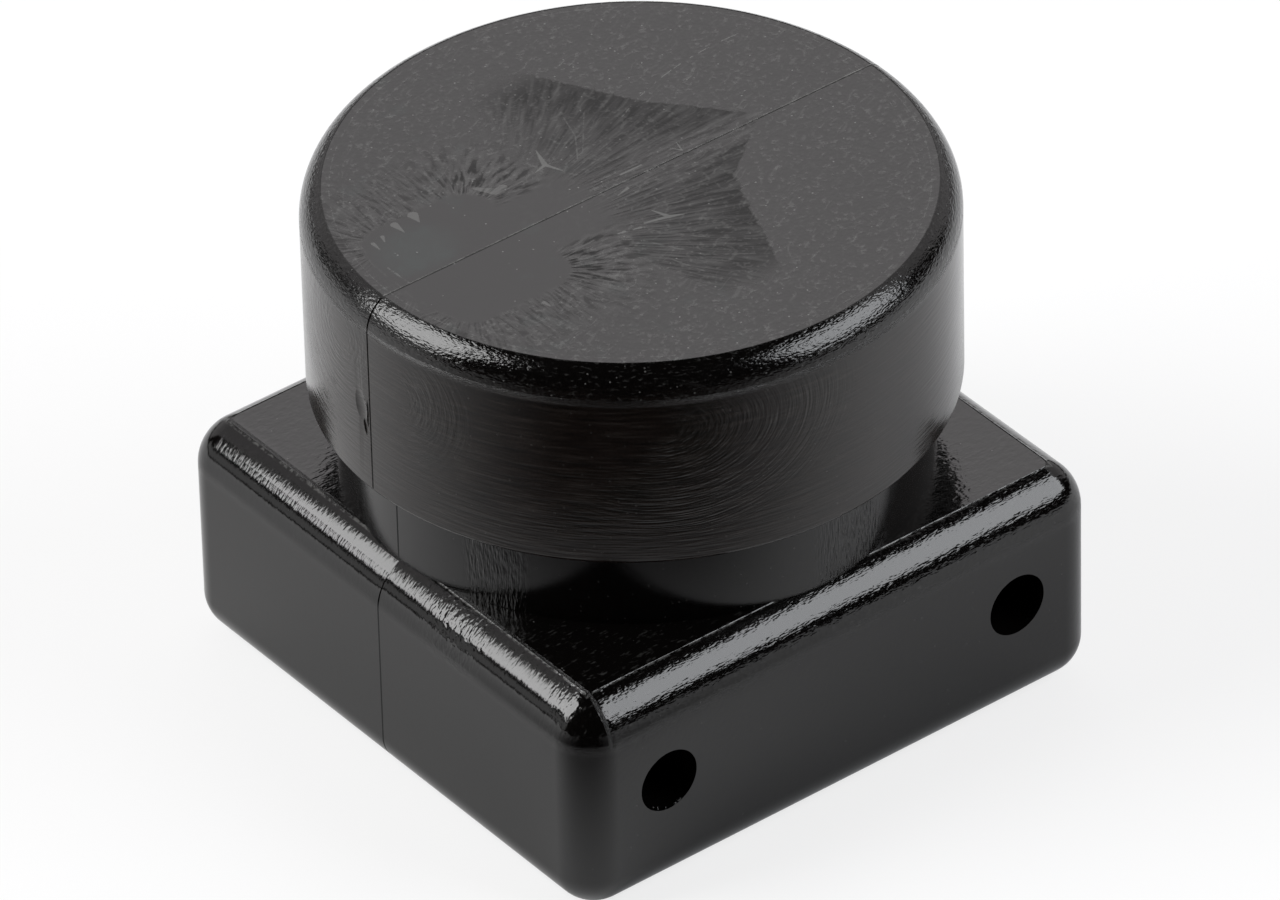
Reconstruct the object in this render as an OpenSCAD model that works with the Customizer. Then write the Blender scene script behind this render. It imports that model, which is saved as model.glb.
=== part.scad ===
// Blanking cap: one moulded piece. A square base with rounded edges carries a round neck
// and a round head. Two holes cross the base, and a blind socket enters it from below.
// The origin is the middle of the underside, +Z points up to the head, and the holes
// run along Y. The mould's two halves part on the plane Y = 0.

/* [Base] */
// Width of the base, across the two holes
base_w = 40; // [38:0.5:60]
// Depth of the base, along the two holes
base_d = 40; // [38:0.5:60]
// Height of the base up to its flat top
base_h = 15.5; // [14.5:0.5:24]
// Radius of the four upright edges
corner_r = 2.7; // [2.7:0.1:6]
// Radius of the lower edges, no larger than the upright edges' radius
foot_r = 2.6; // [0.5:0.1:2.7]
// Radius of the shoulder between the sides and the flat top
shoulder_r = 3.4; // [2.5:0.1:5]
// How far in from the sides the flat top cuts the shoulder short
shoulder_in = 2.05; // [1:0.05:2.4]

/* [Neck and head] */
// Diameter of the neck
neck_d = 36.6; // [26:0.1:37]
// Height of the gap between the base's flat top and the head
neck_h = 5.7; // [3:0.1:12]
// Diameter of the head
head_d = 40; // [38:0.5:60]
// Thickness of the head
head_h = 14; // [8:0.5:24]
// Radius of the head's upper edge
rim_r = 2.4; // [1.6:0.1:4]
// How far in from the head's side its flat top cuts the upper edge short
rim_in = 1.3; // [0.8:0.05:1.6]
// Radius of the head's lower edge
lip_r = 0.4; // [0.2:0.1:2]

/* [Cross holes] */
// Diameter of the two holes that cross the base
hole_d = 4.2; // [3:0.1:5]
// Distance between the centres of the two holes
hole_pitch = 27; // [25:0.5:28.5]
// Height of the holes' centres above the underside
hole_z = 8.1; // [6:0.1:8.5]

/* [Socket] */
// Diameter of the blind socket in the underside
socket_d = 18; // [8:0.5:20]
// Depth of the socket above the underside
socket_depth = 25; // [4:0.5:28]
// Width of the chamfer round the socket's mouth
socket_chamfer = 0.8; // [0.2:0.1:1]

/* [Hidden] */
$fn = 96;
// Extra length by which a cut passes the face that it enters
cut_over = 1;
// Height at which the base's straight sides turn into the shoulder
shoulder_z = base_h - arc_rise(shoulder_r, shoulder_in);
neck_top = base_h + neck_h;
cap_h = neck_top + head_h;

// Rise of an arc of radius r that leaves an upright side and ends `inset` in from it
function arc_rise(r, inset) = sqrt(r * r - (r - inset) * (r - inset));

// What an edge rounded by radius r takes away, seen from the centre of its arc
module beyond_arc(r) {
    difference() {
        square(r + cut_over);
        circle(r = r);
    }
}

// Outline, on the +X side of the Y axis, of a wall whose outer face stands at x = reach.
// Its lower edge is a full quarter turn of radius low_r. Its upper edge follows an arc
// of radius high_r, which the flat top cuts short at high_in from the outer face.
module wall_outline(reach, low_z, low_r, top_z, high_r, high_in) {
    difference() {
        translate([0, low_z])
            square([reach, top_z - low_z]);
        translate([reach - low_r, low_z + low_r])
            mirror([0, 1])
                beyond_arc(low_r);
        translate([reach - high_r, top_z - arc_rise(high_r, high_in)])
            beyond_arc(high_r);
    }
}

module base_outline(reach) {
    wall_outline(reach, 0, foot_r, base_h, shoulder_r, shoulder_in);
}

// Middle part of the base between two opposite sides: the outline and its mirror image,
// drawn out along Y over the straight length of those sides
module base_slab(width, length) {
    rotate([90, 0, 0])
        linear_extrude(height = length, center = true)
            for (side = [0, 1])
                mirror([side, 0])
                    base_outline(width / 2);
}

// The outline drawn along all four sides and turned round the four upright edges
module base() {
    straight_w = base_w - 2 * corner_r;
    straight_d = base_d - 2 * corner_r;
    base_slab(base_w, straight_d);
    rotate([0, 0, 90])
        base_slab(base_d, straight_w);
    for (x = [-1, 1], y = [-1, 1])
        translate([x * straight_w / 2, y * straight_d / 2, 0])
            rotate_extrude()
                base_outline(corner_r);
}

// The neck is wider than the flat top between two opposite shoulders, so it starts at
// the height of the straight sides and comes out through the shoulders
module neck() {
    translate([0, 0, shoulder_z])
        cylinder(d = neck_d, h = neck_top + lip_r - shoulder_z);
}

module head() {
    rotate_extrude()
        wall_outline(head_d / 2, neck_top, lip_r, cap_h, rim_r, rim_in);
}

module cross_holes() {
    for (side = [-1, 1])
        translate([side * hole_pitch / 2, 0, hole_z])
            rotate([90, 0, 0])
                cylinder(d = hole_d, h = base_d + 2 * cut_over, center = true);
}

module socket() {
    translate([0, 0, -cut_over])
        cylinder(d = socket_d, h = socket_depth + cut_over);
    // The cone's lower end lies under the mouth by as much as its slope widens it
    translate([0, 0, -cut_over])
        cylinder(d1 = socket_d + 2 * (socket_chamfer + cut_over), d2 = socket_d,
            h = socket_chamfer + cut_over);
}

module cap() {
    color([0.10, 0.10, 0.10])
        difference() {
            union() {
                base();
                neck();
                head();
            }
            cross_holes();
            socket();
        }
}

cap();
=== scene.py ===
import bpy
import bmesh
import math
from mathutils import Matrix, Vector


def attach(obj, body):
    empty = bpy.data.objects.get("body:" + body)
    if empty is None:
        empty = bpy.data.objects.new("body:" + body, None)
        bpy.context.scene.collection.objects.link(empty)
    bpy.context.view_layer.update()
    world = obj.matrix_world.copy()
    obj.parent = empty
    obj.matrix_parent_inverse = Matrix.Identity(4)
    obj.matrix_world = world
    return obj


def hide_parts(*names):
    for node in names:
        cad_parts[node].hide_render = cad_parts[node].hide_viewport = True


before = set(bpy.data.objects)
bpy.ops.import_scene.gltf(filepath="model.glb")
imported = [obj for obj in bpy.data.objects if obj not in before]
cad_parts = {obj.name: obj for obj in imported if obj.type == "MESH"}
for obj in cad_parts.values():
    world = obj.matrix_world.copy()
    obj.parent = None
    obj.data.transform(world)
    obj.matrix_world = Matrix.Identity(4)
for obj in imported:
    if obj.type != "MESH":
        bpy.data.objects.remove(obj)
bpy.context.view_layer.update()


# The base: a square block of black moulded rubber with rounded uprights. Its lower edge is
# a full quarter turn, and its shoulder is an arc that the flat top cuts short at a crease,
# where the mould has left a fine raised line.

mm = 0.001
base_wide = 40.0 * mm
base_high = 15.5 * mm
upright_radius = 2.7 * mm
foot_radius = 2.6 * mm
shoulder_radius = 3.4 * mm
shoulder_inset = 2.05 * mm
crease_half = 0.05 * mm
crease_proud = 0.02 * mm
parting_half = 0.07 * mm
parting_deep = 0.06 * mm
cut_within = 0.001 * mm


def put_down():
    # Leaves edit mode and lets go of every object
    if bpy.context.object and bpy.context.object.mode != "OBJECT":
        bpy.ops.object.mode_set(mode="OBJECT")
    bpy.ops.object.select_all(action="DESELECT")


def take_up(piece):
    # Opens one piece, and no other, in edit mode with everything in it selected
    put_down()
    bpy.context.view_layer.objects.active = piece
    piece.select_set(True)
    bpy.ops.object.mode_set(mode="EDIT")
    bpy.ops.mesh.select_all(action="SELECT")


def pick(piece, kind, wanted):
    # Selects, in edit mode, the VERT, EDGE or FACE parts that `wanted` says yes to
    bpy.ops.mesh.select_mode(type=kind)
    bpy.ops.mesh.select_all(action="DESELECT")
    shape = bmesh.from_edit_mesh(piece.data)
    parts = {"VERT": shape.verts, "EDGE": shape.edges, "FACE": shape.faces}[kind]
    for part in parts:
        if wanted(part):
            part.select_set(True)
    shape.select_flush_mode()
    bmesh.update_edit_mesh(piece.data)


def round_over(radius, inset, steps):
    # Steps the selected end face along an arc that leaves the wall below it upright, until
    # it has come in by `inset`
    end_turn = math.acos(1 - inset / radius)
    came_in, rose = 0.0, 0.0
    for step in range(1, steps + 1):
        turn = end_turn * step / steps
        now_in = radius * (1 - math.cos(turn))
        now_up = radius * math.sin(turn)
        bpy.ops.mesh.inset(thickness=now_in - came_in, depth=now_up - rose, use_even_offset=True)
        came_in, rose = now_in, now_up


def raise_crease(half, proud):
    # Leaves a fine raised line round the selected end face
    bpy.ops.mesh.inset(thickness=half, depth=proud, use_even_offset=True)
    bpy.ops.mesh.inset(thickness=half, depth=-proud, use_even_offset=True)


def arc_rise(radius, inset):
    return math.sqrt(radius ** 2 - (radius - inset) ** 2)


def part_mould():
    # Three cuts on and beside the plane Y = 0, where the mould's halves meet
    for side in (-1, 0, 1):
        bpy.ops.mesh.select_all(action="SELECT")
        bpy.ops.mesh.bisect(plane_co=(0, side * parting_half, 0), plane_no=(0, 1, 0),
                            threshold=cut_within)


def on_parting(corner):
    return abs(corner.co.y) < 0.2 * parting_half


put_down()
wall_low = foot_radius
wall_high = base_high - arc_rise(shoulder_radius, shoulder_inset)
bpy.ops.mesh.primitive_cube_add(size=1, location=(0, 0, (wall_low + wall_high) / 2),
                                scale=(base_wide, base_wide, wall_high - wall_low))
cap = bpy.context.object
cap.name = "moulded_cap"
bpy.ops.object.transform_apply(location=True, rotation=True, scale=True)
take_up(cap)
pick(cap, "EDGE", lambda e: abs(e.verts[0].co.z - e.verts[1].co.z) > 5 * mm)
bpy.ops.mesh.bevel(offset=upright_radius, offset_type="OFFSET", segments=18, profile=0.5)
pick(cap, "FACE", lambda f: f.normal.z > 0.9)
round_over(shoulder_radius, shoulder_inset, 24)
raise_crease(crease_half, 2 * crease_proud)
pick(cap, "FACE", lambda f: f.normal.z < -0.9)
round_over(foot_radius, foot_radius * 0.995, 18)
part_mould()
pick(cap, "VERT", on_parting)
bpy.ops.transform.shrink_fatten(value=-parting_deep)

# On the left the two halves didn't meet truly: the far half's shoulder stands further in,
# and the parting line opens to a notch as it goes over the shoulder
halves_off = 0.24 * mm
for step in range(25):
    turn = math.acos(1 - shoulder_inset / shoulder_radius) * step / 24
    level = wall_high + shoulder_radius * math.sin(turn)
    pick(cap, "VERT", lambda v: v.co.y > 0.5 * parting_half and v.co.x < -17.25 * mm
         and abs(v.co.z - level) < 0.02 * mm)
    bpy.ops.transform.translate(value=(halves_off * math.sin(turn) ** 2, 0, 0))
for low, deep in ((12.9, 0.05), (13.6, 0.07), (14.4, 0.08)):
    pick(cap, "VERT", lambda v: on_parting(v) and v.co.x < -17 * mm and v.co.z > low * mm)
    bpy.ops.transform.shrink_fatten(value=-deep * mm)
put_down()


# The neck and the head: a round column that comes out through the shoulders, and a thick
# disc on it with a small lower lip. The rim is an arc cut short by the flat top, and the
# parting line stands proud across the top.

neck_radius = 18.3 * mm
neck_high = 5.7 * mm
head_radius = 20.0 * mm
head_high = 14.0 * mm
rim_radius = 2.4 * mm
rim_inset = 1.3 * mm
lip_radius = 0.4 * mm
parting_proud = 0.03 * mm
head_low = base_high + neck_high
head_flat = head_low + head_high - parting_proud

side_low = head_low + lip_radius
side_high = head_flat - arc_rise(rim_radius, rim_inset)
bpy.ops.mesh.primitive_cylinder_add(vertices=288, radius=head_radius, depth=side_high - side_low,
                                    location=(0, 0, (side_low + side_high) / 2))
head = bpy.context.object
head.name = "head_and_neck"
bpy.ops.object.transform_apply(location=True, rotation=True, scale=True)
take_up(head)
pick(head, "FACE", lambda f: f.normal.z > 0.9)
round_over(rim_radius, rim_inset, 20)
raise_crease(crease_half, crease_proud)
pick(head, "FACE", lambda f: f.normal.z < -0.9)
round_over(lip_radius, lip_radius * 0.99, 6)
bpy.ops.mesh.inset(thickness=head_radius - lip_radius * 0.99 - neck_radius, use_even_offset=True)
bpy.ops.mesh.extrude_region_move(TRANSFORM_OT_translate={"value": (0, 0, wall_high - head_low)})
part_mould()
pick(head, "VERT", lambda v: on_parting(v) and v.co.z < head_flat - 0.1 * mm)
bpy.ops.transform.shrink_fatten(value=-parting_deep)
pick(head, "VERT", lambda v: on_parting(v) and v.co.z > head_flat - 0.01 * mm
     and abs(v.co.x) < head_radius - rim_inset - 1.5 * crease_half)
bpy.ops.transform.translate(value=(0, 0, parting_proud))


def join_shape(piece, other, operation):
    # Joins or cuts `piece` with `other`, and throws the other shape away. This solver keeps
    # closed shapes closed and comes out the same each time, which the exact one doesn't here.
    put_down()
    bpy.context.view_layer.objects.active = piece
    piece.select_set(True)
    step = piece.modifiers.new("join", "BOOLEAN")
    step.operation = operation
    step.solver = "MANIFOLD"
    step.object = other
    bpy.ops.object.modifier_apply(modifier=step.name)
    bpy.data.objects.remove(other, do_unlink=True)


join_shape(cap, head, "UNION")


# A leaf-shaped scab beside the parting line on the head's left side, where flash tore out
# of the skin: a shallow hollow, with a narrow deeper split below it along the line.

for turn, level, out_by, sizes, lean in (
        (177.45, 27.3, 0.34, (0.45, 0.95, 1.75), 8),
        (178.55, 25.9, 0.24, (0.36, 0.22, 0.85), 12),
        (179.35, 27.0, 0.24, (0.34, 0.16, 1.5), 0)):
    azimuth = math.radians(turn)
    reach = head_radius + out_by * mm
    bpy.ops.mesh.primitive_uv_sphere_add(
        segments=32, ring_count=20, radius=1,
        location=(reach * math.cos(azimuth), reach * math.sin(azimuth), level * mm),
        rotation=(math.radians(lean), 0, azimuth), scale=[size * mm for size in sizes])
    hollow = bpy.context.object
    bpy.ops.object.transform_apply(location=True, rotation=True, scale=True)
    join_shape(cap, hollow, "DIFFERENCE")


# The cross holes and the socket: two round holes cored right through the base, and one
# blind socket from below with a small chamfer at its mouth.

hole_radius = 2.1 * mm
hole_pitch = 27.0 * mm
hole_height = 8.1 * mm
socket_radius = 9.0 * mm
socket_deep = 25.0 * mm
socket_chamfer = 0.8 * mm

for side in (-1, 1):
    bpy.ops.mesh.primitive_cylinder_add(vertices=96, radius=hole_radius, depth=base_wide + 4 * mm,
                                        location=(side * hole_pitch / 2, 0, hole_height),
                                        rotation=(math.pi / 2, 0, 0))
    core = bpy.context.object
    bpy.ops.object.transform_apply(location=True, rotation=True, scale=True)
    join_shape(cap, core, "DIFFERENCE")

bpy.ops.mesh.primitive_cylinder_add(vertices=160, radius=socket_radius, depth=socket_deep + 1 * mm,
                                    location=(0, 0, (socket_deep - 1 * mm) / 2))
plug = bpy.context.object
bpy.ops.object.transform_apply(location=True, rotation=True, scale=True)
take_up(plug)
bpy.ops.mesh.bisect(plane_co=(0, 0, socket_chamfer), plane_no=(0, 0, 1), threshold=cut_within)
pick(plug, "VERT", lambda v: v.co.z < 0)
widen = (socket_radius + socket_chamfer + 1 * mm) / socket_radius
bpy.ops.transform.resize(value=(widen, widen, 1), center_override=(0, 0, 0))
join_shape(cap, plug, "DIFFERENCE")

# Crumbs of flash left hanging on the lower edge of the hole near the corner
for across, level, size, flat in ((-14.72, 6.62, 0.13, 0.5), (-14.38, 6.34, 0.16, 0.4),
                                  (-13.80, 6.06, 0.13, 0.5), (-13.05, 6.05, 0.15, 0.7),
                                  (-12.72, 6.20, 0.17, 0.8), (-14.52, 9.93, 0.08, 0.6)):
    bpy.ops.mesh.primitive_ico_sphere_add(
        subdivisions=2, radius=1, location=(across * mm, -19.91 * mm, level * mm),
        rotation=(0, across, 0), scale=(size * mm, 0.09 * mm, size * flat * mm))
    crumb = bpy.context.object
    bpy.ops.object.transform_apply(location=True, rotation=True, scale=True)
    join_shape(cap, crumb, "UNION")

# One clean shell, smooth over its arcs and sharp at its creases
weld_within = 0.002 * mm
smooth_under = math.radians(14)
take_up(cap)
bpy.ops.mesh.remove_doubles(threshold=weld_within)
bpy.ops.mesh.normals_make_consistent(inside=False)
put_down()
cap.select_set(True)
bpy.context.view_layer.objects.active = cap
bpy.ops.object.shade_smooth_by_angle(angle=smooth_under)


# The rubber's finish: almost black all through, with the satin gloss of a steel mould and
# the marks of how it flowed: smooth pools, combed feathers round them, dull wings, whorls
# on the side, bruises where the skin tore, and a little dust. Pale lines on the parting
# ridge across the top and along the base's crease are painted highlights.

class Wire:
    # A socket of a material's nodes that takes part in ordinary sums
    def __init__(self, finish, out):
        self.finish = finish
        self.out = out

    def also(self, name):
        # Another output of the same node
        return Wire(self.finish, self.out.node.outputs[name])

    def __add__(self, other):
        return self.finish.sum("ADD", self, other)

    def __radd__(self, other):
        return self.finish.sum("ADD", other, self)

    def __sub__(self, other):
        return self.finish.sum("SUBTRACT", self, other)

    def __rsub__(self, other):
        return self.finish.sum("SUBTRACT", other, self)

    def __mul__(self, other):
        return self.finish.sum("MULTIPLY", self, other)

    def __rmul__(self, other):
        return self.finish.sum("MULTIPLY", other, self)


class Finish:
    # The nodes of one material or world, added one at a time
    def __init__(self, holder):
        self.holder = holder
        holder.use_nodes = True
        self.tree = holder.node_tree
        self.tree.nodes.clear()

    def node(self, kind, settings=None, values=None, out=0):
        made = self.tree.nodes.new(kind)
        for name, value in (settings or {}).items():
            setattr(made, name, value)
        for name, value in (values or {}).items():
            if isinstance(value, Wire):
                self.tree.links.new(value.out, made.inputs[name])
            else:
                made.inputs[name].default_value = value
        return Wire(self, made.outputs[out]) if made.outputs else None

    def sum(self, operation, first, second=0.0):
        return self.node("ShaderNodeMath", {"operation": operation}, {0: first, 1: second})


rubber = Finish(bpy.data.materials.new("black_moulded_rubber"))


def fade(value, low, high):
    # 0 below `low`, 1 above `high`, and smooth between; the other way round if low > high
    if low > high:
        return 1 - fade(value, high, low)
    return rubber.node("ShaderNodeMapRange", {"interpolation_type": "SMOOTHSTEP"},
                       {"Value": value, "From Min": low, "From Max": high})


def larger(first, second):
    return rubber.sum("MAXIMUM", first, second)


def smaller(first, second):
    return rubber.sum("MINIMUM", first, second)


def size_of(value):
    return rubber.sum("ABSOLUTE", value)


def reach_of(run, rise):
    return rubber.sum("SQRT", run * run + rise * rise)


def turn_of(rise, run):
    return rubber.sum("ARCTAN2", rise, run)


def point(east, north, up=0.0):
    return rubber.node("ShaderNodeCombineXYZ", values={0: east, 1: north, 2: up})


def grain(where, scale, detail=1.0, roughness=0.5):
    # Even noise with 0 in the middle, seldom past -1 or 1
    cloud = rubber.node("ShaderNodeTexNoise", {"noise_dimensions": "3D"},
                        {"Vector": where, "Scale": scale, "Detail": detail,
                         "Roughness": roughness}, out="Fac")
    return cloud * 4.0 - 2.0


def speck(where, scale, keep, size):
    # Small round dots in a share `keep` of the cells of a grid of that scale
    cell = rubber.node("ShaderNodeTexVoronoi", {"feature": "F1"},
                       {"Vector": where, "Scale": scale, "Randomness": 1.0}, out="Distance")
    draw = rubber.node("ShaderNodeSeparateColor", values={0: cell.also("Color")}, out=0)
    return fade(cell, size, size * 0.4) * fade(draw, keep, keep * 0.8)


def scratches(marks, soft):
    # Straight marks on the head's top. Each has a start, an end, the half width at its start
    # and the share of that which it has lost at its end.
    nearest = 9.0
    for start, end, half, taper in marks:
        run = Vector((end[0] - start[0], end[1] - start[1], 0))
        offset = rubber.node("ShaderNodeVectorMath", {"operation": "SUBTRACT"},
                             {0: flat_place, 1: (start[0], start[1], 0)})
        along = rubber.node("ShaderNodeVectorMath", {"operation": "DOT_PRODUCT"},
                            {0: offset, 1: run / run.length_squared}, out="Value")
        along = rubber.node("ShaderNodeClamp", values={"Value": along})
        reached = rubber.node("ShaderNodeVectorMath", {"operation": "SCALE"},
                              {0: tuple(run), "Scale": along})
        gap = rubber.node("ShaderNodeVectorMath", {"operation": "DISTANCE"},
                          {0: offset, 1: reached}, out="Value")
        outside = rubber.node("ShaderNodeMath", {"operation": "MULTIPLY_ADD"},
                              {0: along, 1: half * taper, 2: gap}) - half
        nearest = smaller(nearest, outside)
    return fade(nearest, soft, -0.02)


def pressed(relief, share=1.0, below=None):
    # A bump of the given height in millimetres, shown by `share`, over the one `below`
    values = {"Strength": share, "Distance": mm, "Height": relief}
    if below:
        values["Normal"] = below
    return rubber.node("ShaderNodeBump", values=values)


def skin(colour, dull, normal):
    return rubber.node("ShaderNodeBsdfPrincipled", values={
        "Base Color": colour, "Roughness": dull, "IOR": 1.5, "Normal": normal})


def tinted(share, plain, marked):
    return rubber.node("ShaderNodeMix", {"data_type": "RGBA"},
                       {0: share, 6: plain, 7: marked}, out=2)


place = rubber.node("ShaderNodeTexCoord", out="Object")
in_mm = rubber.node("ShaderNodeVectorMath", {"operation": "SCALE"}, {0: place, "Scale": 1000.0})
x = rubber.node("ShaderNodeSeparateXYZ", values={0: in_mm}, out="X")
y = x.also("Y")
z = x.also("Z")
flat_place = point(x, y)
out_y = size_of(y)
from_axis = reach_of(x, y)
round_side = turn_of(y * -1.0, x * -1.0) * 20.0
pitch_black = (0.0017, 0.0014, 0.0013, 1)
# The pale grey of dust and marks, which also paints the highlights on the parting ridge and the
# base's crease
dust_and_highlight_grey = (0.30, 0.30, 0.29, 1)


# The head's top. Two smooth pools, mirror images across the parting line, with combed
# feathers round them; two dull wings with a straight outer edge, combed outwards; bruises
# in the shape of stars and wedges where the skin tore.

mottle = grain(in_mm, 2.6, 1.5, 0.7)
broad = grain(in_mm, 0.45, 1.0)
spine = rubber.node("ShaderNodeClamp", values={"Value": x, "Min": -15.0, "Max": -10.0})
past_spine = x - spine
past_level = out_y - 3.7
spine_gap = reach_of(past_spine, past_level)
from_spine = spine_gap + broad * 0.18
feather_turn = turn_of(past_spine, past_level)
far_half = fade(y, -0.05, 0.05)
in_pool = fade(from_spine, 2.25, 1.75)
in_pool = larger(in_pool, fade(out_y, 3.9, 3.4) * fade(x, -7.3, -8.0) * fade(x, -18.2, -17.4))
in_tongue = fade(out_y, 3.7, 3.2) * fade(x, -2.2, -3.2) * fade(x, -9.0, -8.0)
smooth_skin = larger(in_pool, in_tongue * 0.8)
feather_line = grain(point(spine * 3.9 + feather_turn * 13.0, spine_gap * 0.75, far_half), 1.0)
in_feather = (fade(from_spine, 1.9, 2.3) * fade(from_spine, 8.5, 3.6) * fade(x, -2.2, -4.2)
              * fade(out_y, 2.4, 3.6))
in_feather = in_feather * (0.50 + 0.50 * fade(feather_turn, 0.0, 0.8))

wing_edge_far = larger(10.56 - y * 0.84, 8.75 - y * 0.54)
wing_edge_near = larger(9.9 + y * 1.33, 6.58 + y * 0.41)
wing_edge = wing_edge_near + (wing_edge_far - wing_edge_near) * far_half
comb_turn = turn_of(out_y - 1.0, x + 9.0)
comb_far = reach_of(x + 9.0, out_y - 1.0)
comb_line = grain(point(comb_turn * 36.0, comb_far * 0.40, far_half * 7.0), 1.0)
wing_inside = wing_edge + comb_line * 0.22 - x
wing_end = 13.0 + comb_line * 0.7 - out_y
in_wing = (fade(wing_inside, -0.1, 0.1) * fade(wing_end, -1.0, 2.2)
           * larger(fade(x, -5.0, -0.5), fade(x, -4.9, -4.1) * fade(y, -4.0, -5.2)
                    * fade(x - out_y * 0.3, -7.0, -6.2)))
wing_dull = in_wing * (0.45 + 0.55 * fade(wing_inside, 7.0, 0.6)) * fade(out_y, 0.0, 2.2)

bruises = scratches((
    ((-3.04, 4.45), (-2.55, 5.95), 0.17, 0.9), ((-3.04, 4.45), (-3.95, 4.20), 0.11, 0.8),
    ((-3.04, 4.45), (-2.60, 3.35), 0.12, 0.7), ((-0.60, -4.50), (-1.00, -3.35), 0.15, 0.9),
    ((-0.60, -4.50), (0.25, -4.90), 0.14, 0.8), ((-0.60, -4.50), (-2.15, -4.10), 0.12, 0.6),
    ((-2.60, -4.32), (-3.05, -4.18), 0.08, 0.5), ((-3.60, -4.02), (-4.05, -3.95), 0.09, 0.7),
    ((-0.15, 0.73), (1.40, 0.73), 0.06, 0.3), ((-0.70, -0.65), (-1.60, -0.85), 0.08, 0.8),
    ((4.25, 0.35), (4.50, 1.25), 0.05, 0.9), ((4.25, 0.35), (3.85, 0.95), 0.04, 0.9)), 0.05)
wedges = scratches((
    ((-13.75, 5.35), (-13.75, 4.35), 0.24, 1.0), ((-12.30, 5.42), (-12.42, 4.60), 0.33, 1.0),
    ((-15.90, 4.65), (-15.95, 3.95), 0.12, 0.8), ((-15.05, 4.85), (-15.25, 4.35), 0.11, 0.8),
    ((-7.75, 5.20), (-7.05, 4.20), 0.12, -1.6), ((-6.40, 4.25), (-7.10, 4.15), 0.26, 0.2),
    ((-11.70, -6.60), (-11.65, -7.05), 0.12, 0.4)), 0.05)
streaks = scratches((
    ((-16.68, 0.05), (-16.70, 2.10), 0.03, 0.0), ((-1.40, 3.30), (0.20, 5.60), 0.02, 0.0),
    ((0.20, 5.60), (0.85, 7.60), 0.03, 0.5), ((-0.50, 4.00), (2.10, 7.20), 0.02, 0.5),
    ((-3.40, -5.30), (-1.40, -8.90), 0.04, 0.0), ((-1.40, -8.90), (1.80, -11.40), 0.03, 0.5),
    ((-2.10, -5.30), (-0.50, -7.25), 0.03, 0.0), ((-0.50, -7.25), (2.10, -9.75), 0.03, 0.5),
    ((-3.40, -7.40), (-2.30, -10.60), 0.03, 0.2)), 0.07)

# A fine dotted arc, and faint rings just inside the top's crease
arc_gap = reach_of(x - 13.3, y + 12.9) - 20.7
dotted_arc = (fade(size_of(arc_gap), 0.06, 0.02) * fade(x, 3.2, 3.8) * fade(x, 15.0, 14.0)
              * fade(mottle, -0.2, 0.2))
inner_ring = (fade(size_of(from_axis - 18.12), 0.06, 0.01)
              + fade(size_of(from_axis - 17.35 + broad * 0.15), 0.07, 0.01) * 0.6)
inner_ring = inner_ring * fade(mottle, -0.25, 0.1)

# Short hairs of dust and pale flecks, which the smooth skin stays clear of
hair_line = grain(point(x * 1.8 + broad * 2.0, y * 4.8 + x * 0.8 + broad * 4.0, 9.0), 1.0)
hairs = fade(hair_line, 0.30, 0.85) * (1 - smooth_skin)
# A pale line painted along the far side of the parting ridge across the top, broken by the mottle,
# is a painted highlight
painted_parting_highlight = fade(size_of(y - 0.03), 0.09, 0.02) * (0.55 + 0.45 * mottle)
dust = speck(in_mm, 2.0, 0.22, 0.16)

feather_up = fade(feather_line, 0.0, 0.6) * in_feather
feather_down = fade(feather_line, 0.0, -0.6) * in_feather
comb_up = fade(comb_line, 0.05, 0.80) * in_wing
comb_down = fade(comb_line, 0.0, -0.6) * in_wing
pale = (feather_up * 0.080 + comb_up * 0.065 + hairs * 0.070 + inner_ring * 0.08
        + fade(mottle, 0.20, 0.90) * (1 - smooth_skin) * 0.095 + painted_parting_highlight * 0.42)
pale = larger(larger(pale, bruises * 0.34), larger(wedges * 0.19, dotted_arc * 0.22))
pale = larger(larger(pale, dust * 0.36), streaks * fade(mottle, -0.5, 0.3) * 0.16)
green_haze = in_pool * fade(reach_of((x + 14.3) * 0.9, y - 2.5), 3.1, 1.0)
green_haze = (green_haze + fade(broad, 0.3, 0.9) * 0.45 * fade(x, 2.0, -6.0)) * (0.8 + mottle * 0.3)
top_colour = tinted(green_haze, pitch_black, (0.007, 0.012, 0.011, 1))
top_colour = tinted(pale, top_colour, dust_and_highlight_grey)
top_dull = (0.19 + broad * 0.01 + wing_dull * 0.26 + feather_down * 0.40 + comb_down * 0.12
            - smooth_skin * 0.02 + bruises * 0.25)
top_normal = pressed(mottle * 0.0040, 1 - smooth_skin * 0.85)
top_normal = pressed(feather_line * 0.0150, in_feather, top_normal)
top_normal = pressed(comb_line * 0.0120, in_wing, top_normal)
top_skin = skin(top_colour, top_dull, top_normal)


# The head's side and rim, and the neck: whorls of fine arcs where the rubber met, level
# flow lines round the side, wrinkles over the rim and two combed patches on the neck.

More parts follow.
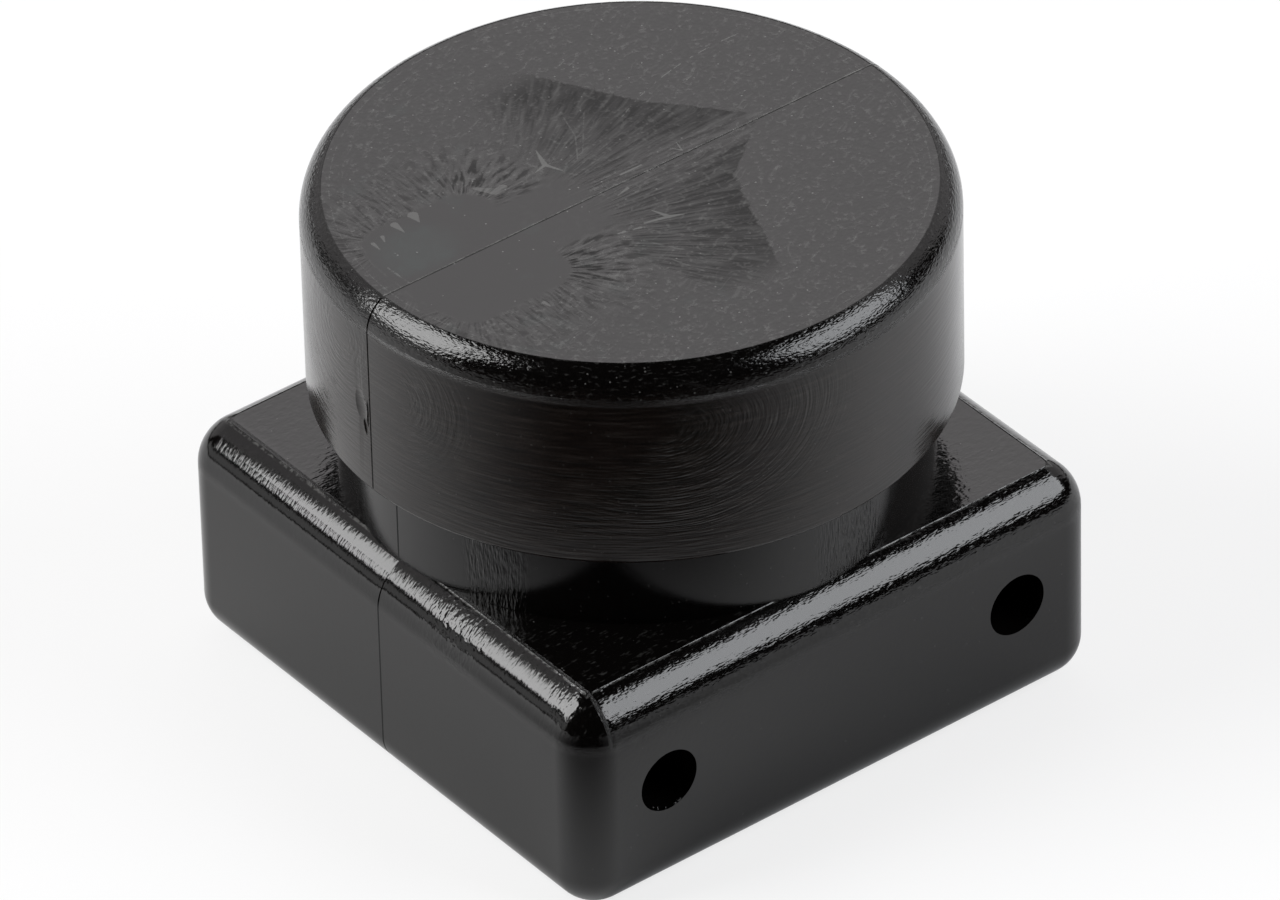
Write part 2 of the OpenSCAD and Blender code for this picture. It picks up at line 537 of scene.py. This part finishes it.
in_second = fade(round_side, 8.6, 9.0)
in_third = fade(round_side, 0.05, -0.05)
reach_s = round_side - 2.6 - in_second * 17.2 + in_third * 5.7
reach_z = (z - 29.9 - in_second * 1.3 - in_third * 1.7) * (1 + in_second * 0.55)
whorl_reach = reach_of(reach_s, reach_z)
whorl_turn = turn_of(reach_z, reach_s)
whorl_arcs = grain(point(whorl_reach * 4.2, whorl_turn * 2.2, in_second * 5.0), 1.0, 1.5, 0.6)
in_whorl = (fade(whorl_reach, 0.5, 1.5) * fade(size_of(round_side), 0.03, 0.3)
            * fade(size_of(round_side - 8.8), 0.2, 1.2)
            * larger(fade(whorl_reach, 7.0, 3.5) * fade(size_of(whorl_turn), 1.7, 1.1),
                     larger(in_third * fade(whorl_reach, 10.0, 6.0),
                            in_second * fade(whorl_reach, 14.0, 10.0)
                            * fade(whorl_turn, -2.3, -1.3) * fade(whorl_turn, 0.7, 0.1))))
side_flow = grain(point(round_side * 0.28, z * 3.6, from_axis), 1.1, 1.5, 0.7)
on_head_side = fade(z, 21.2, 21.4) * fade(z, 34.6, 31.6)
on_rim = fade(z, 32.6, 33.4)
in_neck_comb = fade(z, 21.3, 21.1) * larger(
    fade(round_side, 5.6, 7.0) * fade(round_side, 11.5, 9.5),
    fade(round_side, 30.0, 32.0) * fade(round_side, 37.0, 35.0))
rim_wrinkle = grain(point(round_side * 1.7 + fade(z, 21.3, 21.1) * round_side * 1.5,
                          (from_axis - z) * (0.7 + on_rim * 2.4)), 1.3, 1.5, 0.7)
side_dust = speck(in_mm, 2.6, 0.24, 0.19) * (0.3 + 0.7 * fade(z, 32.6, 34.2))
whorl_up = fade(whorl_arcs, 0.1, 0.9) * in_whorl
side_pale = (whorl_up * 0.026 + fade(side_flow, 0.0, 0.9) * on_head_side * 0.016
             + fade(rim_wrinkle, 0.2, 1.0) * on_rim * 0.060)
side_pale = larger(side_pale, side_dust * 0.26)
brown_haze = on_head_side * (0.7 + 0.6 * side_flow)
side_colour = tinted(brown_haze, pitch_black, (0.0078, 0.0052, 0.0040, 1))
side_colour = tinted(side_pale, side_colour, dust_and_highlight_grey)
side_dull = 0.17 - on_rim * 0.045 + in_whorl * 0.05 + side_flow * 0.008
side_normal = pressed(side_flow * 0.0044, on_head_side)
side_normal = pressed(whorl_arcs * 0.0085, in_whorl * on_head_side, side_normal)
side_normal = pressed(rim_wrinkle * 0.0110, larger(on_rim, in_neck_comb * 2.0), side_normal)
side_skin = skin(side_colour, side_dull, side_normal)


# The base: fine crosswise wrinkles over the left shoulder and mottled drag marks along the
# right one, where the skin pulled as it left the mould, and satin faces below.

on_shoulder = fade(z, 11.6, 13.0)
on_left = fade(x, -17.6, -17.9)
on_right = 1 - on_left
across_left = point((x + z) * 1.0, y * 4.2)
along_right = point(x * 1.5, (y + z) * 3.6, 5.0)
down_face = point((x + y) * 1.8, z * 0.15, 9.0)
drag_place = rubber.node("ShaderNodeMix", {"data_type": "VECTOR"},
                         {0: on_left, 4: along_right, 5: across_left}, out=1)
drag_place = rubber.node("ShaderNodeMix", {"data_type": "VECTOR"},
                         {0: on_shoulder, 4: down_face, 5: drag_place}, out=1)
drag = grain(drag_place, 1.1, 1.5, 0.7)
base_mottle = grain(in_mm, 2.6, 1.0, 0.65)
base_dust = speck(in_mm, 2.0, 0.14, 0.13) * (0.35 + 0.65 * fade(z, 15.4, 15.45))
# A pale line painted along the shoulder's crease, broken by the mottle, is a painted highlight on
# the raised line there
crease_gap = size_of(larger(size_of(x), out_y) - base_wide / mm / 2 + shoulder_inset / mm
                     + base_mottle * 0.05)
painted_crease_highlight = (fade(crease_gap, 0.12, 0.03) * fade(z, 15.2, 15.35)
               * fade(base_mottle, -0.4, 0.5))
torn = larger(on_left * fade(size_of(y + 6.8), 3.4, 1.0),
              fade(reach_of(x + 17.6, y + 17.6), 3.2, 1.2)) * on_shoulder
base_pale = on_shoulder * fade(drag, 0.3, 1.1) * (0.030 + on_right * 0.020 + torn * 0.03)
base_pale = larger(base_pale + painted_crease_highlight * 0.22, base_dust * 0.30)
base_colour = tinted(base_pale, pitch_black, dust_and_highlight_grey)
base_dull = 0.155 - on_shoulder * 0.050 + drag * 0.006 + base_mottle * 0.010
base_normal = pressed(base_mottle * (0.0014 + on_right * 0.0020 + torn * 0.0060),
                      0.4 + on_shoulder * 0.6)
base_normal = pressed(drag * (0.0026 + on_right * 0.0026 + torn * 0.0020), 0.12 + on_shoulder * 0.88,
                      base_normal)
base_skin = skin(base_colour, base_dull, base_normal)

on_head_top = fade(z, 34.95, 35.05) * fade(from_axis, 18.72, 18.62)
on_base = fade(z, 15.6, 15.5)
below_top = rubber.node("ShaderNodeMixShader", values={0: on_base, 1: side_skin, 2: base_skin})
whole = rubber.node("ShaderNodeMixShader", values={0: on_head_top, 1: below_top, 2: top_skin})
rubber.node("ShaderNodeOutputMaterial", values={"Surface": whole})
cap.data.materials.clear()
cap.data.materials.append(rubber.holder)
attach(cap, "root")
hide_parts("cap")


# The studio: a white table, a large soft lamp on each side, a pale wall with a lamp behind,
# and a black card flat on the table in front. None of it is part of the cap. The camera
# sees most of the table's white as its own light, and the rest as lit, with the shadow.

table_wide = 6.0
table_own_light = 0.75
put_down()
bpy.ops.mesh.primitive_plane_add(size=table_wide, location=(0, 0, 0))
table = bpy.context.object
table.name = "table_top"
white = Finish(bpy.data.materials.new("white_table"))
ray = white.node("ShaderNodeLightPath", out="Is Camera Ray")
lit = white.node("ShaderNodeBsdfDiffuse", values={"Color": (0.88, 0.88, 0.88, 1)})
clean = white.node("ShaderNodeEmission", values={"Color": (1, 1, 1, 1), "Strength": 1.0})
seen = white.node("ShaderNodeMixShader", values={0: ray * table_own_light, 1: lit, 2: clean})
white.node("ShaderNodeOutputMaterial", values={"Surface": seen})
table.data.materials.append(white.holder)


def stand_off(azimuth, elevation, distance):
    # A place seen from the cap in the given direction, in degrees from +X and from level
    turn, rise = math.radians(azimuth), math.radians(elevation)
    flat = distance * math.cos(rise)
    return Vector((flat * math.cos(turn), flat * math.sin(turn), distance * math.sin(rise)))


def soft_lamp(name, azimuth, elevation, distance, wide, high, glow, colour):
    # A rectangular lamp that faces the cap and looks `glow` bright, where white is 1
    data = bpy.data.lights.new(name, "AREA")
    data.shape = "RECTANGLE"
    data.size = wide
    data.size_y = high
    data.energy = glow * 4 * wide * high
    data.color = colour
    lamp = bpy.data.objects.new(name, data)
    bpy.context.collection.objects.link(lamp)
    middle = Vector((0, 0, 0.02))
    lamp.location = stand_off(azimuth, elevation, distance) + middle
    lamp.rotation_euler = (middle - lamp.location).to_track_quat("-Z", "Y").to_euler()
    return lamp


soft_lamp("left_softbox", 150.5, 38, 0.7, 0.40, 0.50, 6.6, (1.0, 1.0, 1.0))
soft_lamp("left_wall", 142, 7, 1.0, 1.0, 0.18, 0.6, (1.0, 1.0, 1.0))
soft_lamp("right_softbox", 311, 34, 0.7, 0.50, 0.41, 4.8, (0.95, 0.97, 1.0))
soft_lamp("back_wall", 52, 38, 1.0, 3.0, 1.3, 0.5, (1.0, 0.97, 0.98))
soft_lamp("back_lamp", 52, 37, 1.0, 0.50, 0.46, 0.65, (1.0, 0.97, 0.98))

# The black card, which only reflections see. It is whole straight ahead, a little way out
# from the cap, and fades out to the sides and under the cap.
card_wide = 5.5
card_above = 0.3 * mm
bpy.ops.mesh.primitive_plane_add(size=card_wide, location=(0, 0, card_above))
card = bpy.context.object
card.name = "black_card"
bpy.ops.object.transform_apply(location=True, rotation=True, scale=True)
black = Finish(bpy.data.materials.new("black_felt"))
spot = black.node("ShaderNodeTexCoord", out="Object")
east = black.node("ShaderNodeSeparateXYZ", values={0: spot}, out="X")
north = black.node("ShaderNodeSeparateXYZ", values={0: spot}, out="Y")
card_turn = math.radians(228)
ahead = east * math.cos(card_turn) + north * math.sin(card_turn)
across = north * math.cos(card_turn) - east * math.sin(card_turn)
off_line = black.sum("ARCTAN2", black.sum("ABSOLUTE", across), ahead)
far_out = black.sum("SQRT", east * east + north * north)
in_turn = black.node("ShaderNodeMapRange", {"interpolation_type": "SMOOTHSTEP"},
                     {"Value": off_line, "From Min": math.radians(14), "From Max": math.radians(88),
                      "To Min": 1.0, "To Max": 0.0})
in_reach = black.node("ShaderNodeMapRange", {"interpolation_type": "SMOOTHSTEP"},
                      {"Value": far_out, "From Min": 0.024, "From Max": 0.052})
felt = black.node("ShaderNodeBsdfDiffuse", values={"Color": (0.002, 0.002, 0.002, 1)})
clear = black.node("ShaderNodeBsdfTransparent")
faded = black.node("ShaderNodeMixShader", values={0: in_turn * in_reach, 1: clear, 2: felt})
black.node("ShaderNodeOutputMaterial", values={"Surface": faded})
card.data.materials.append(black.holder)
card.visible_camera = False
card.visible_diffuse = False
card.visible_shadow = False

# The backdrop is white to the camera and gives no light
bpy.context.scene.world = bpy.data.worlds.new("white_studio")
room = Finish(bpy.context.scene.world)
room_ray = room.node("ShaderNodeLightPath", out="Is Camera Ray")
unlit = room.node("ShaderNodeBackground", values={"Color": (1, 1, 1, 1), "Strength": 0.0})
shown = room.node("ShaderNodeBackground", values={"Color": (1, 1, 1, 1), "Strength": 1.0})
backdrop = room.node("ShaderNodeMixShader", values={0: room_ray, 1: unlit, 2: shown})
room.node("ShaderNodeOutputWorld", values={"Surface": backdrop})


# The camera: a long lens from the front left, looking down on the head.

camera_data = bpy.data.cameras.new("camera")
lens_long = 375.347
camera_away = 814.321 * mm
camera_data.lens = lens_long
camera_data.sensor_width = 36.0
camera_data.sensor_fit = "HORIZONTAL"
camera_data.clip_start = 0.01
camera = bpy.data.objects.new("camera", camera_data)
bpy.context.collection.objects.link(camera)
camera_turn = math.radians(-37.38888)
camera_rise = math.radians(36.72805)
camera_roll = math.radians(-1.45286)
back = Vector((math.sin(camera_turn) * math.cos(camera_rise),
               -math.cos(camera_turn) * math.cos(camera_rise), math.sin(camera_rise)))
level_right = Vector((math.cos(camera_turn), math.sin(camera_turn), 0))
level_up = back.cross(level_right)
right = level_right * math.cos(camera_roll) + level_up * math.sin(camera_roll)
upright = level_up * math.cos(camera_roll) - level_right * math.sin(camera_roll)
aim = Vector((0.216, 0, 14.744)) * mm
camera.matrix_world = (Matrix.Translation(aim + back * camera_away)
                       @ Matrix((right, upright, back)).transposed().to_4x4())
bpy.context.scene.camera = camera
bpy.context.scene.view_settings.view_transform = "Standard"
